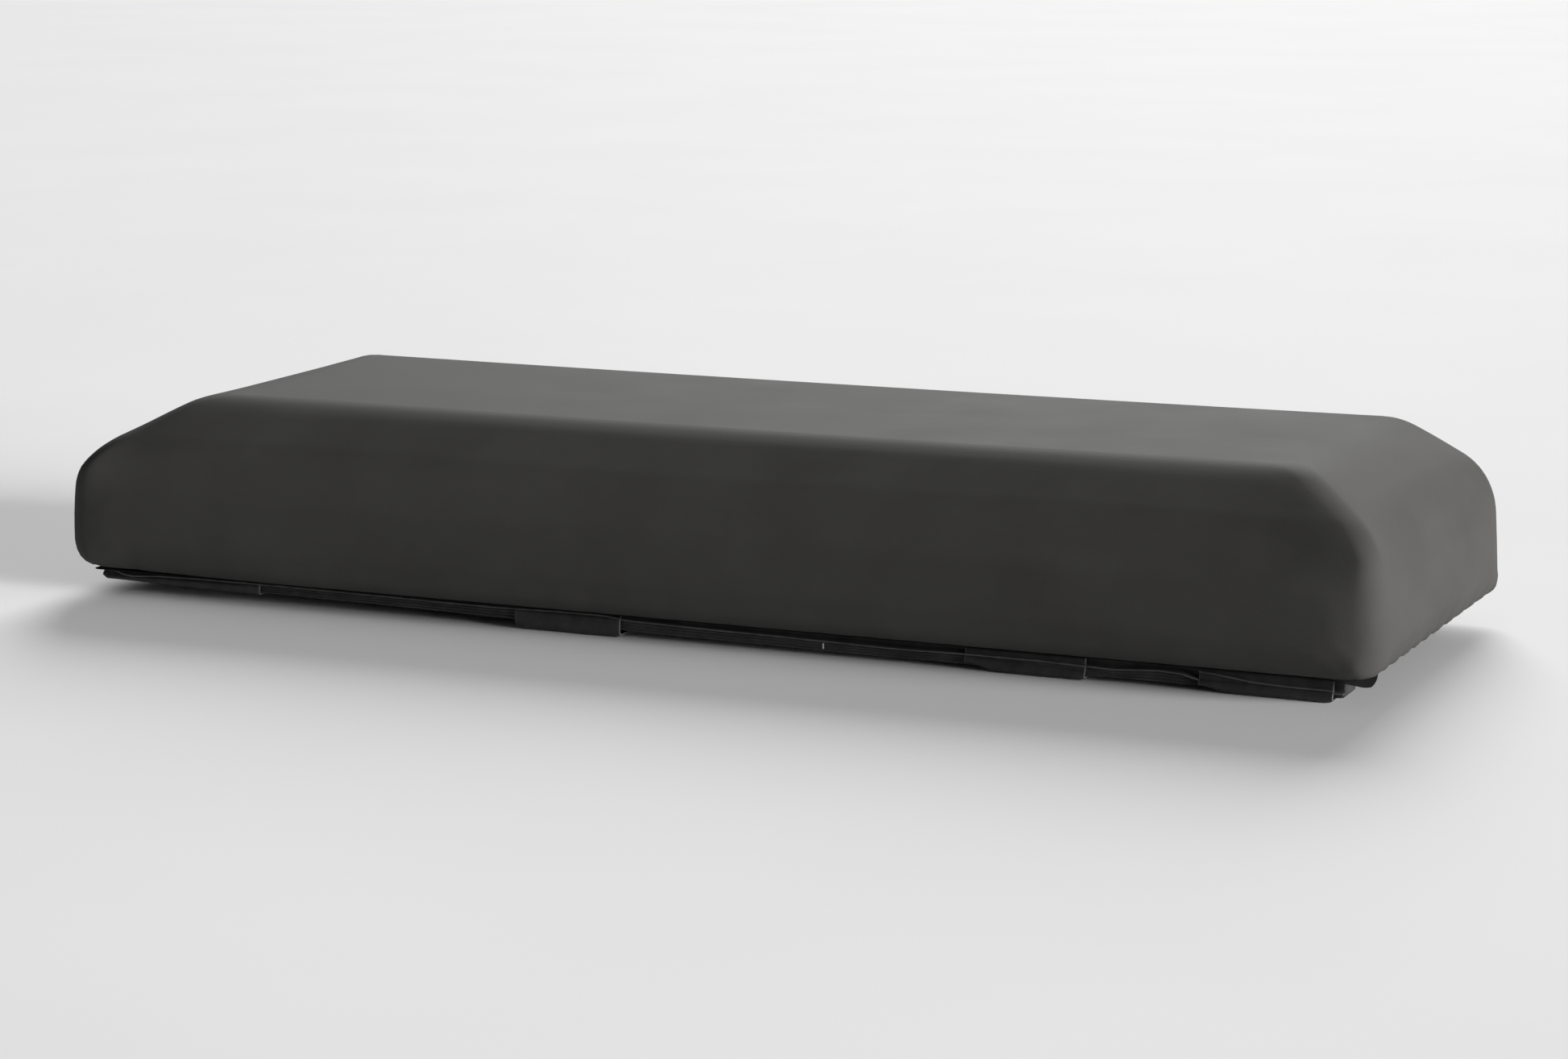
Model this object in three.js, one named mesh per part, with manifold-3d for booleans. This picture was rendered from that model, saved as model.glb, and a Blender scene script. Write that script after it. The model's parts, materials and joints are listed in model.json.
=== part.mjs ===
// Futon mattress: one half of a two-part sofa-bed mattress, as a covered and bevelled foam pad that
// is held to its frame by hook-and-loop flaps under its two long edges.
//
// Millimetres, +Z up, +X along the length. The bevelled front faces -Y and the flat back, which meets
// the other half of the bed, faces +Y. The origin is on the surface that the flaps rest on, under the
// middle of the pad.

import * as THREE from 'three';
import { mergeVertices } from 'three/addons/utils/BufferGeometryUtils.js';
import Module from 'manifold-3d';

const wasm = await Module();
wasm.setup();

// ---------------------------------------------------------------- driving dimensions

const LENGTH = 1900;
const DEPTH = 630;
const PAD_BASE = 35; // height of the pad's underside above the surface
const PAD_HEIGHT = 233; // pad's underside to its sleeping face

// Section of the pad at its front and both ends
const BEVEL_RUN = 143; // how far the sleeping face is set in from the foot of the wall
const BEVEL_DROP = 69; // how far the shoulder is below the sleeping face
const WALL_DRAFT = 10; // how far the wall leans in between its foot and the shoulder
const FOOT_RADIUS = 20;
const SHOULDER_RADIUS = 90;
const CREASE_RADIUS = 110;
// Section of the pad at its back
const BACK_TOP_RADIUS = 24;
// Upright edges of the pad, seen from above
const FRONT_CORNER_RADIUS = 40;
const TOP_CORNER_RADIUS = 20;
const BACK_CORNER_RADIUS = 26;
const LEAST_CORNER_RADIUS = 6;

// Layers, from the outside in
const FIT_GAP = 0.3; // clearance between pieces that touch
const COVER_THICKNESS = 2.5;
const WADDING_THICKNESS = 12;
const BASE_FOAM_THICKNESS = 40;
const COMFORT_THICKNESS = 50;

// Underside
const HEM_WIDTH = 65; // width of the cover that is turned under the pad
const HEM_CORNER_RADIUS = 60;
const ELASTIC_WIDTH = 8;
const ELASTIC_THICKNESS = 2;
const BASE_CLOTH_INSET = 20;
const BASE_CLOTH_THICKNESS = 1.6;
const BASE_CLOTH_RADIUS = 25;

// Folded strips that the flaps are sewn to
const STRIP_INSET = 35; // strip's outer face, in from the pad's long side
const STRIP_DEPTH = 56;
const STRIP_DROP = 24; // strip's underside below the pad's underside
const STRIP_LAYERS = 4; // fabric thicknesses seen on the strip's outer face
const STRIP_GROOVE = 1.6; // depth of the line between two layers
const STRIP_SPANS = {
  front: [-905, 893],
  rear: [-860, 860],
};

// Flaps: a band sewn to the strip's outer face, led under the strip and fastened behind it
const FLAP_THICKNESS = 2.4;
const FLAP_SEAM_DROP = 6; // flap's sewn edge below the pad's underside
const FLAP_CHANNEL = 66; // inner width between the flap's two upright walls
const FLAP_TAIL = 36; // length of the tail that carries the hook tape
const FLAP_BEND_RADIUS = 4.5; // to the middle of the band's thickness
const FOLDED_BEND_RADIUS = 1.5;
const TAPE_THICKNESS = 1.5;
const TAPE_LENGTH = 26;
const TAPE_MARGIN = 12; // hook tape's ends, in from the flap's ends
const TAPE_SET_BACK = 2; // from the tail's free edge
// Each flap's two ends along the length. A folded flap lies flat against the strip
const FLAPS = [
  { name: 'front_flap_1', side: 'front', span: [-909, -653], folded: true },
  { name: 'front_flap_2', side: 'front', span: [-255, -98], folded: false },
  { name: 'front_flap_3', side: 'front', span: [392, 556], folded: false },
  { name: 'front_flap_4', side: 'front', span: [706, 880], folded: false },
  { name: 'rear_flap_1', side: 'rear', span: [-817, -652], folded: false },
  { name: 'rear_flap_2', side: 'rear', span: [-332, -167], folded: false },
  { name: 'rear_flap_3', side: 'rear', span: [167, 332], folded: false },
  { name: 'rear_flap_4', side: 'rear', span: [652, 817], folded: false },
];

// Fineness of the rounded shapes
const CORNER_STEPS = 5;
const FILLET_STEPS = 5;
const BEND_STEPS = 4;
const CURVE_STEPS = 6;
const LEAST_STEP = 1; // levels of the pad closer than this share one ring
const LEAST_FILLET_RADIUS = 0.5;
const LEVEL_TOLERANCE = 1e-6;
const WELD_DISTANCE = 1e-4;
const CUT_OVERSHOOT = 3; // how far a cutting body reaches past what it cuts

// ---------------------------------------------------------------- derived levels and places

const CLOTH_TOP = PAD_BASE - FIT_GAP;
const CLOTH_BOTTOM = CLOTH_TOP - BASE_CLOTH_THICKNESS;
const STRIP_TOP = CLOTH_BOTTOM - FIT_GAP;
const STRIP_BOTTOM = PAD_BASE - STRIP_DROP;
const STRIP_OUTER_Y = DEPTH / 2 - STRIP_INSET;
const LOOP_TAPE_BOTTOM = CLOTH_BOTTOM - FIT_GAP - TAPE_THICKNESS;
const HOOK_TAPE_BOTTOM = LOOP_TAPE_BOTTOM - FIT_GAP - TAPE_THICKNESS;
const TAIL_TOP = HOOK_TAPE_BOTTOM - FIT_GAP;
const SEAM_Z = PAD_BASE - FLAP_SEAM_DROP;
const SEAM_Y = STRIP_OUTER_Y + FIT_GAP + FLAP_THICKNESS / 2;

// ---------------------------------------------------------------- materials

const MATERIALS = {
  cover: { color: 0x53524f, roughness: 0.82, metalness: 0 },
  wadding: { color: 0xe9e8e2, roughness: 1, metalness: 0 },
  comfort_foam: { color: 0xe6dfc4, roughness: 0.95, metalness: 0 },
  core_foam: { color: 0xd9cfa8, roughness: 0.95, metalness: 0 },
  base_foam: { color: 0xb9c0c4, roughness: 0.95, metalness: 0 },
  base_cloth: { color: 0x141414, roughness: 0.9, metalness: 0 },
  strip: { color: 0x1a1a1a, roughness: 0.62, metalness: 0 },
  flap: { color: 0x18181a, roughness: 0.45, metalness: 0 },
  tape: { color: 0x0e0e0e, roughness: 0.98, metalness: 0 },
  elastic: { color: 0x202020, roughness: 0.85, metalness: 0 },
};

const model = new THREE.Group();

function addPiece(parent, name, geometry, finish) {
  const piece = new THREE.Mesh(geometry, new THREE.MeshStandardMaterial(MATERIALS[finish]));
  piece.name = name;
  parent.add(piece);
  return piece;
}

// ---------------------------------------------------------------- cutting with manifold-3d

function toManifold(geometry) {
  const bare = geometry.clone();
  bare.deleteAttribute('normal');
  bare.deleteAttribute('uv');
  const welded = mergeVertices(bare, WELD_DISTANCE);
  return new wasm.Manifold(new wasm.Mesh({
    numProp: 3,
    vertProperties: new Float32Array(welded.attributes.position.array),
    triVerts: new Uint32Array(welded.index.array),
  }));
}

function toGeometry(manifold) {
  const mesh = manifold.getMesh();
  const geometry = new THREE.BufferGeometry();
  geometry.setAttribute('position', new THREE.BufferAttribute(new Float32Array(mesh.vertProperties), 3));
  geometry.setIndex(new THREE.BufferAttribute(new Uint32Array(mesh.triVerts), 1));
  geometry.computeVertexNormals();
  return geometry;
}

// ---------------------------------------------------------------- outlines and sections

// The arc that rounds the corner of two straight lines, set in from its surface by `inward`
function filletPoints(before, corner, after, radius, inward, steps) {
  const toBefore = before.clone().sub(corner).normalize();
  const toAfter = after.clone().sub(corner).normalize();
  const halfAngle = Math.acos(THREE.MathUtils.clamp(toBefore.dot(toAfter), -1, 1)) / 2;
  const middle = toBefore.clone().add(toAfter).normalize();
  const centre = corner.clone().addScaledVector(middle, radius / Math.sin(halfAngle));
  const setBack = radius / Math.tan(halfAngle);
  const start = corner.clone().addScaledVector(toBefore, setBack).sub(centre).angle();
  const end = corner.clone().addScaledVector(toAfter, setBack).sub(centre).angle();
  let sweep = end - start;
  if (sweep > Math.PI) sweep -= 2 * Math.PI;
  if (sweep < -Math.PI) sweep += 2 * Math.PI;
  const points = [];
  for (let step = 0; step <= steps; step += 1) {
    const angle = start + (sweep * step) / steps;
    const reach = Math.max(radius - inward, LEAST_FILLET_RADIUS);
    points.push(new THREE.Vector2(centre.x + reach * Math.cos(angle), centre.y + reach * Math.sin(angle)));
  }
  return points;
}

// How far the bevelled side stands in from the pad's box, as (inset, height) points from foot to top.
// The foot's corner is moved out a little, so that the rounded foot just reaches the box
function bevelledSection(inward) {
  const lean = Math.atan2(WALL_DRAFT, PAD_HEIGHT - BEVEL_DROP);
  const flare = FOOT_RADIUS * ((1 + Math.sin(lean)) / Math.cos(lean) - 1);
  const underside = new THREE.Vector2(BEVEL_RUN, 0);
  const foot = new THREE.Vector2(-flare, 0);
  const shoulder = new THREE.Vector2(WALL_DRAFT, PAD_HEIGHT - BEVEL_DROP);
  const crease = new THREE.Vector2(BEVEL_RUN, PAD_HEIGHT);
  const top = new THREE.Vector2(2 * BEVEL_RUN, PAD_HEIGHT);
  return [
    ...filletPoints(underside, foot, shoulder, FOOT_RADIUS, inward, FILLET_STEPS),
    ...filletPoints(foot, shoulder, crease, SHOULDER_RADIUS, inward, FILLET_STEPS),
    ...filletPoints(shoulder, crease, top, CREASE_RADIUS, inward, FILLET_STEPS),
  ];
}

// The same for the flat back
function backSection(inward) {
  const underside = new THREE.Vector2(BEVEL_RUN, 0);
  const foot = new THREE.Vector2(0, 0);
  const head = new THREE.Vector2(0, PAD_HEIGHT);
  const top = new THREE.Vector2(BEVEL_RUN, PAD_HEIGHT);
  return [
    ...filletPoints(underside, foot, head, FOOT_RADIUS, inward, FILLET_STEPS),
    ...filletPoints(foot, head, top, BACK_TOP_RADIUS, inward, FILLET_STEPS),
  ];
}

// The section's inset at a height, straight between its points
function insetAt(section, height) {
  const next = section.findIndex((point) => point.y >= height - LEVEL_TOLERANCE);
  if (next <= 0) return section[Math.max(next, 0)].x;
  const low = section[next - 1];
  const high = section[next];
  const share = (height - low.y) / Math.max(high.y - low.y, LEVEL_TOLERANCE);
  return THREE.MathUtils.lerp(low.x, high.x, THREE.MathUtils.clamp(share, 0, 1));
}

// A level outline with rounded corners, anticlockwise from above
function roundedRing(insets, radii, height) {
  const right = LENGTH / 2 - insets.end;
  const front = -DEPTH / 2 + insets.front;
  const back = DEPTH / 2 - insets.back;
  const corners = [
    { x: right - radii.front, y: front + radii.front, radius: radii.front, from: -0.5 },
    { x: right - radii.back, y: back - radii.back, radius: radii.back, from: 0 },
    { x: -right + radii.back, y: back - radii.back, radius: radii.back, from: 0.5 },
    { x: -right + radii.front, y: front + radii.front, radius: radii.front, from: 1 },
  ];
  return corners.flatMap(({ x, y, radius, from }) => {
    const points = [];
    for (let step = 0; step <= CORNER_STEPS; step += 1) {
      const angle = Math.PI * (from + (0.5 * step) / CORNER_STEPS);
      points.push(new THREE.Vector3(x + radius * Math.cos(angle), y + radius * Math.sin(angle), height));
    }
    return points;
  });
}

// A closed body through a stack of level rings with the same number of points
function loft(rings) {
  const count = rings[0].length;
  const positions = rings.flatMap((ring) => ring.flatMap((point) => [point.x, point.y, point.z]));
  const index = [];
  for (let level = 0; level < rings.length - 1; level += 1) {
    for (let side = 0; side < count; side += 1) {
      const lower = level * count + side;
      const lowerNext = level * count + ((side + 1) % count);
      index.push(lower, lowerNext, lowerNext + count, lower, lowerNext + count, lower + count);
    }
  }
  const topStart = (rings.length - 1) * count;
  for (let side = 1; side < count - 1; side += 1) {
    index.push(0, side + 1, side);
    index.push(topStart, topStart + side, topStart + side + 1);
  }
  const geometry = new THREE.BufferGeometry();
  geometry.setAttribute('position', new THREE.Float32BufferAttribute(positions, 3));
  geometry.setIndex(index);
  return geometry;
}

// The pad's shape, set in from its surface by `inward`. It starts at `base` above the pad's underside
function padBody(inward, base = inward) {
  const bevelled = bevelledSection(inward);
  const back = backSection(inward);
  const levels = [...bevelled, ...back].map((point) => point.y).sort((a, b) => a - b);
  const distinct = levels.filter((level, place) => place === 0 || level - levels[place - 1] > LEAST_STEP);
  distinct[distinct.length - 1] = PAD_HEIGHT - inward;
  const rings = distinct.map((level) => {
    const insets = { end: insetAt(bevelled, level), back: insetAt(back, level) };
    insets.front = insets.end;
    const radii = {
      front: Math.max(FRONT_CORNER_RADIUS - insets.front, TOP_CORNER_RADIUS - inward),
      back: Math.max(BACK_CORNER_RADIUS - insets.back, LEAST_CORNER_RADIUS),
    };
    return roundedRing(insets, radii, PAD_BASE + level);
  });
  if (base < inward) {
    rings.unshift(rings[0].map((point) => new THREE.Vector3(point.x, point.y, PAD_BASE + base)));
  }
  return toManifold(loft(rings));
}

// A level slab of the pad's outline, used to cut layers and openings
function levelSlab(inset, radius, bottom, top) {
  const insets = { end: inset, front: inset, back: inset };
  const radii = { front: radius, back: radius };
  return toManifold(loft([roundedRing(insets, radii, bottom), roundedRing(insets, radii, top)]));
}

// ---------------------------------------------------------------- cover and its elastic

function coverGeometry() {
  const opening = [PAD_BASE - CUT_OVERSHOOT, PAD_BASE + COVER_THICKNESS + CUT_OVERSHOOT];
  const hemOpening = levelSlab(HEM_WIDTH, HEM_CORNER_RADIUS, ...opening);
  return toGeometry(padBody(0).subtract(padBody(COVER_THICKNESS)).subtract(hemOpening));
}

function elasticGeometry() {
  const top = PAD_BASE + ELASTIC_THICKNESS;
  const outer = levelSlab(HEM_WIDTH + FIT_GAP, HEM_CORNER_RADIUS, PAD_BASE, top);
  const innerInset = HEM_WIDTH + FIT_GAP + ELASTIC_WIDTH;
  const innerRadius = HEM_CORNER_RADIUS - ELASTIC_WIDTH;
  const inner = levelSlab(innerInset, innerRadius, PAD_BASE - CUT_OVERSHOOT, top + CUT_OVERSHOOT);
  return toGeometry(outer.subtract(inner));
}

// ---------------------------------------------------------------- filling

const FILLING_BASE = COVER_THICKNESS + FIT_GAP; // above the pad's underside
const FOAM_INWARD = COVER_THICKNESS + FIT_GAP + WADDING_THICKNESS + FIT_GAP;

// Wadding lies over the top and down the sides, and is open underneath
function waddingGeometry() {
  const outer = padBody(COVER_THICKNESS + FIT_GAP);
  const hollow = padBody(FOAM_INWARD - FIT_GAP, 0);
  return toGeometry(outer.subtract(hollow));
}

// A foam block between two heights above the pad's underside
function foamGeometry(bottom, top) {
  const slab = levelSlab(-CUT_OVERSHOOT, LEAST_CORNER_RADIUS, PAD_BASE + bottom, PAD_BASE + top);
  return toGeometry(padBody(FOAM_INWARD, 0).intersect(slab));
}

// ---------------------------------------------------------------- underside

function baseClothGeometry() {
  return toGeometry(levelSlab(BASE_CLOTH_INSET, BASE_CLOTH_RADIUS, CLOTH_BOTTOM, CLOTH_TOP));
}

// Turns a section drawn as (across, up) and extruded into a body that runs along +X
function alongLength(shape, length) {
  const settings = { depth: length, bevelEnabled: false, curveSegments: CURVE_STEPS };
  const geometry = new THREE.ExtrudeGeometry(shape, settings);
  const across = new THREE.Vector3(0, 1, 0);
  const up = new THREE.Vector3(0, 0, 1);
  const along = new THREE.Vector3(1, 0, 0);
  return geometry.applyMatrix4(new THREE.Matrix4().makeBasis(across, up, along));
}

// The strip is a wide fabric folded over and over: its outer face shows the edge of each layer
function stripShape() {
  const height = STRIP_TOP - STRIP_BOTTOM;
  const layer = height / STRIP_LAYERS;
  const shape = new THREE.Shape();
  shape.moveTo(STRIP_DEPTH, 0);
  shape.lineTo(STRIP_DEPTH, height);
  shape.lineTo(STRIP_GROOVE, height);
  for (let fold = STRIP_LAYERS; fold > 0; fold -= 1) {
    const middle = (fold - 0.5) * layer;
    shape.quadraticCurveTo(0, fold * layer, 0, middle);
    shape.quadraticCurveTo(0, (fold - 1) * layer, STRIP_GROOVE, (fold - 1) * layer);
  }
  shape.closePath();
  return shape;
}

function addStrip(side) {
  const [start, end] = STRIP_SPANS[side];
  const strip = addPiece(model, `${side}_strip`, alongLength(stripShape(), end - start), 'strip');
  const facesBack = side === 'rear';
  strip.rotation.z = facesBack ? Math.PI : 0;
  strip.position.set(facesBack ? end : start, facesBack ? STRIP_OUTER_Y : -STRIP_OUTER_Y, STRIP_BOTTOM);
}

// ---------------------------------------------------------------- flaps

// Middle line of the flap's band from its seam, as (inwards, up) from the seam
function flapPath(folded) {
  const half = FLAP_THICKNESS / 2;
  const lowest = folded ? STRIP_BOTTOM - FIT_GAP - FLAP_THICKNESS : 0;
  const run = lowest + half - SEAM_Z;
  const tail = TAIL_TOP - half - SEAM_Z;
  const riser = FLAP_CHANNEL + FLAP_THICKNESS;
  const corners = [
    new THREE.Vector2(0, 0),
    new THREE.Vector2(0, run),
    new THREE.Vector2(riser, run),
    new THREE.Vector2(riser, tail),
    new THREE.Vector2(riser + FLAP_TAIL, tail),
  ];
  const radius = folded ? FOLDED_BEND_RADIUS : FLAP_BEND_RADIUS;
  const path = [corners[0]];
  for (let bend = 1; bend < corners.length - 1; bend += 1) {
    path.push(...filletPoints(corners[bend - 1], corners[bend], corners[bend + 1], radius, 0, BEND_STEPS));
  }
  path.push(corners[corners.length - 1]);
  return path;
}

// A band of even thickness around a path
function bandShape(path, thickness) {
  const sides = [[], []];
  path.forEach((point, place) => {
    const before = path[Math.max(place - 1, 0)];
    const after = path[Math.min(place + 1, path.length - 1)];
    const heading = after.clone().sub(before).normalize();
    const across = new THREE.Vector2(-heading.y, heading.x).multiplyScalar(thickness / 2);
    sides[0].push(point.clone().add(across));
    sides[1].push(point.clone().sub(across));
  });
  return new THREE.Shape([...sides[0], ...sides[1].reverse()]);
}

function boxShape(left, bottom, width, height) {
  const shape = new THREE.Shape();
  shape.moveTo(left, bottom);
  shape.lineTo(left + width, bottom);
  shape.lineTo(left + width, bottom + height);
  shape.lineTo(left, bottom + height);
  shape.closePath();
  return shape;
}

// Both tapes lie over the tail, set back from its free edge
const TAPE_START = FLAP_CHANNEL + FLAP_THICKNESS + FLAP_TAIL - TAPE_SET_BACK - TAPE_LENGTH;

function tapeGeometry(bottom, width) {
  return alongLength(boxShape(TAPE_START, bottom - SEAM_Z, TAPE_LENGTH, TAPE_THICKNESS), width);
}

// The flap and its hook tape turn about the seam. The loop tape it fastens to is sewn to the base cloth
function addFlap({ name, side, span, folded }) {
  const [start, end] = span;
  const width = end - start;
  const facesBack = side === 'rear';
  const seam = new THREE.Group();
  seam.rotation.z = facesBack ? Math.PI : 0;
  seam.position.set(facesBack ? end : start, facesBack ? SEAM_Y : -SEAM_Y, SEAM_Z);
  model.add(seam);
  addPiece(seam, name, alongLength(bandShape(flapPath(folded), FLAP_THICKNESS), width), 'flap');
  const hookWidth = width - 2 * TAPE_MARGIN;
  const hook = addPiece(seam, `${name}_hook_tape`, tapeGeometry(HOOK_TAPE_BOTTOM, hookWidth), 'tape');
  hook.position.x = TAPE_MARGIN;
  addPiece(seam, `${name}_loop_tape`, tapeGeometry(LOOP_TAPE_BOTTOM, width), 'tape');
}

// ---------------------------------------------------------------- assembly

const FOAM_TOP = PAD_HEIGHT - FOAM_INWARD;
const CORE_BOTTOM = FILLING_BASE + BASE_FOAM_THICKNESS + FIT_GAP;
const COMFORT_BOTTOM = FOAM_TOP - COMFORT_THICKNESS;

addPiece(model, 'cover', coverGeometry(), 'cover');
addPiece(model, 'hem_elastic', elasticGeometry(), 'elastic');
addPiece(model, 'fibre_wadding', waddingGeometry(), 'wadding');
addPiece(model, 'comfort_foam', foamGeometry(COMFORT_BOTTOM, PAD_HEIGHT), 'comfort_foam');
addPiece(model, 'core_foam', foamGeometry(CORE_BOTTOM, COMFORT_BOTTOM - FIT_GAP), 'core_foam');
addPiece(model, 'base_foam', foamGeometry(FILLING_BASE, CORE_BOTTOM - FIT_GAP), 'base_foam');
addPiece(model, 'base_cloth', baseClothGeometry(), 'base_cloth');
addStrip('front');
addStrip('rear');
FLAPS.forEach(addFlap);

export default model;
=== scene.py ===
"""A bevelled futon mattress pad: smooth stretch cover, black strips and hook-and-loop flaps underneath.

Metres, in the frame's own axes: +X along the length, -Y towards the bevelled front, +Z up.
"""

import json
import math

import bmesh
import bpy
import numpy as np
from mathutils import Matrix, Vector


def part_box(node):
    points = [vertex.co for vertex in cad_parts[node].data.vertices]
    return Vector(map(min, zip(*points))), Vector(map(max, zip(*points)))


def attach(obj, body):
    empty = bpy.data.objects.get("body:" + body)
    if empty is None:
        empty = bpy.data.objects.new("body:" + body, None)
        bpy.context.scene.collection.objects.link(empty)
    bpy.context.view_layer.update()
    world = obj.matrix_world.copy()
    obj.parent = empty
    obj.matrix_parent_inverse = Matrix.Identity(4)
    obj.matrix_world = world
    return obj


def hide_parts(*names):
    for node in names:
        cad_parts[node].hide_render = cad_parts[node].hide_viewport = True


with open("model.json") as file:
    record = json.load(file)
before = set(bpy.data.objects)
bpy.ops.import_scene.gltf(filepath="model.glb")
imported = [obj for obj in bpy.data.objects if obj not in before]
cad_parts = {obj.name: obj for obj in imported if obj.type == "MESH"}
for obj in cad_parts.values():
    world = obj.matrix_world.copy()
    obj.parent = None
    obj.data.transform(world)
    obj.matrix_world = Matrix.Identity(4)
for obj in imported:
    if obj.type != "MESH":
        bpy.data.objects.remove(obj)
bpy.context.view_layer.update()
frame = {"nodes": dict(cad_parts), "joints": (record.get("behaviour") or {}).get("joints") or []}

MM = 0.001

# -------- places taken from the frame

cover_low, cover_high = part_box("cover")
LENGTH = cover_high.x - cover_low.x
HALF_LENGTH = LENGTH / 2
FRONT_Y = cover_low.y
BACK_Y = cover_high.y
PAD_BASE = cover_low.z
PAD_TOP = cover_high.z
PAD_HEIGHT = PAD_TOP - PAD_BASE

# -------- shape of the covered pad

BEVEL_RUN = 143 * MM
BEVEL_DROP = 69 * MM
WALL_DRAFT = 10 * MM
FOOT_RADIUS = 20 * MM
END_FOOT_RADIUS = 28 * MM  # the foot is rounder at the two ends
SHOULDER_RADIUS = 90 * MM
CREASE_RADIUS = 100 * MM
BACK_TOP_RADIUS = 24 * MM
FRONT_CORNER_RADIUS = 40 * MM
TOP_CORNER_RADIUS = 26 * MM
BACK_CORNER_RADIUS = 26 * MM
LEAST_CORNER_RADIUS = 8 * MM
HEM_WIDTH = 64 * MM
COVER_THICKNESS = 2.2 * MM
COVER_GRID = 8 * MM
WADDING_GRID = 16 * MM
WADDING_INWARD = 3.4 * MM
WADDING_FOOT_INWARD = 4.0 * MM
WADDING_THICKNESS = 7.2 * MM

END_RISE = 2.2 * MM  # the ends of the pad stand this much above its sagging middle
SLANT = 1.6 * MM  # the right end is a little fuller than the left
LEFT_LIFT = 6 * MM  # the lower edge is drawn up at the front left
LEFT_LIFT_START = 0.58  # distance to the left of the middle, in metres
LEFT_BELLY = 5.5 * MM  # how far the left end bulges
RIGHT_LIFT = 7 * MM  # the foot of the right end rises at the front
RIGHT_DROP = 8 * MM  # and hangs lower at the back
CROWN = 2.4 * MM
BEVEL_FULLNESS = 3.2 * MM  # the right bevel is rounder than the left one
PUCKER_SPACING = 54 * MM
PUCKER_DEPTH = 4.2 * MM
SCALLOP = 0.9  # how far a pinch draws the foot up, as a share of its depth
PUCKER_HEIGHT = 75 * MM

# Where those changes start and end: heights, or distances from the middle, the front or an end.
FOOT_HEIGHTS = (25 * MM, 130 * MM)
FRONT_REACH = (20 * MM, 160 * MM)
TILT_FRONT, TILT_BACK = 20 * MM, 60 * MM
TILT_START = 915 * MM
CROWN_HEIGHTS = (180 * MM, 225 * MM)
FULLNESS_HEIGHT, FULLNESS_SPAN = 120 * MM, 110 * MM
FULLNESS_START, FULLNESS_END = 780 * MM, 880 * MM
BELLY_SPAN = 190 * MM
BELLY_REACH = (80 * MM, 20 * MM)
PUCKER_REACH = (50 * MM, 20 * MM)
CORNER_REACH = (180 * MM, 60 * MM)
SCALLOP_REACH = (24 * MM, 50 * MM)

COVER_PRESSURE = 1.6
SETTLE_FRAMES = 12
SETTLE_CAP = 3.5 * MM
FOAM_VOXEL = 9 * MM
ELASTIC_WIDTH = 8 * MM
ELASTIC_THICKNESS = 1.1 * MM
ELASTIC_GRID = 4 * MM
ELASTIC_RIPPLE = 11 * MM  # length of one ripple
ELASTIC_CORNER = 60 * MM

# -------- strips and flaps

strip_low, strip_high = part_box("front_strip")
rear_strip_low, rear_strip_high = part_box("rear_strip")
cloth_low, cloth_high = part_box("base_cloth")
STRIP_FACE = -strip_low.y  # distance of a strip's outer face from the middle plane
STRIP_DEPTH = strip_high.y - strip_low.y
STRIP_TOP = strip_high.z
STRIP_RECESS = 7 * MM
STRIP_BEAD_INWARD = 0.5 * MM

JOINTS = {joint["child"]: joint for joint in frame["joints"]}
FLAP_NAMES = sorted(JOINTS)
SEAM_Z = JOINTS["front_flap_1"]["pos_m"][2]
SEAM_FACE = abs(JOINTS["front_flap_1"]["pos_m"][1])
FLAP_THICKNESS = 2.2 * MM
TAPE_GAP = 0.3 * MM  # between a flap's tail and its hook tape
TAB_PLACE = 196 * MM
LINING_TUCK = 13 * MM  # the ends of the lining are drawn in, but for its front right corner
LINING_GRID = 14 * MM
LINING_THICKNESS = 0.7 * MM
LINING_DROP = 6 * MM  # how far its front right corner hangs
LINING_SLACK = 0.25 * MM
LINING_SAG = 1.4 * MM  # at the right end
LINING_SEAM = 7 * MM  # from its edge to its row of stitches
STITCH_LENGTH = 2.7 * MM
STITCH_PITCH = 3.8 * MM
STITCH_RADIUS = 0.38 * MM

# -------- camera

CAMERA_PLACE = (2.145, -4.912, 1.1015)
CAMERA_TURN = math.radians(23.417)
CAMERA_TILT = math.radians(10.514)
CAMERA_LENS = 90.43
SENSOR_WIDTH = 36.0


def add_camera():
    data = bpy.data.cameras.new("camera")
    data.lens = CAMERA_LENS
    data.sensor_width = SENSOR_WIDTH
    data.clip_end = 200.0
    camera = bpy.data.objects.new("camera", data)
    camera.location = CAMERA_PLACE
    camera.rotation_euler = (math.pi / 2 - CAMERA_TILT, 0.0, CAMERA_TURN)
    bpy.context.scene.collection.objects.link(camera)
    bpy.context.scene.camera = camera


add_camera()

# -------- mesh helpers


def new_object(name, points, faces, smooth=True):
    mesh = bpy.data.meshes.new(name)
    mesh.from_pydata([tuple(p) for p in points], [], [tuple(int(i) for i in f) for f in faces])
    mesh.validate()
    mesh.polygons.foreach_set("use_smooth", [smooth] * len(mesh.polygons))
    mesh.update()
    piece = bpy.data.objects.new(name, mesh)
    bpy.context.scene.collection.objects.link(piece)
    return piece


def coordinates(mesh):
    flat = np.zeros(len(mesh.vertices) * 3, np.float32)
    mesh.vertices.foreach_get("co", flat)
    return flat.reshape(-1, 3).astype(float)


def set_coordinates(mesh, points):
    mesh.vertices.foreach_set("co", np.asarray(points, np.float32).ravel())
    mesh.update()


def normals(mesh):
    flat = np.zeros(len(mesh.vertices) * 3, np.float32)
    mesh.vertex_normals.foreach_get("vector", flat)
    return flat.reshape(-1, 3).astype(float)


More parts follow.
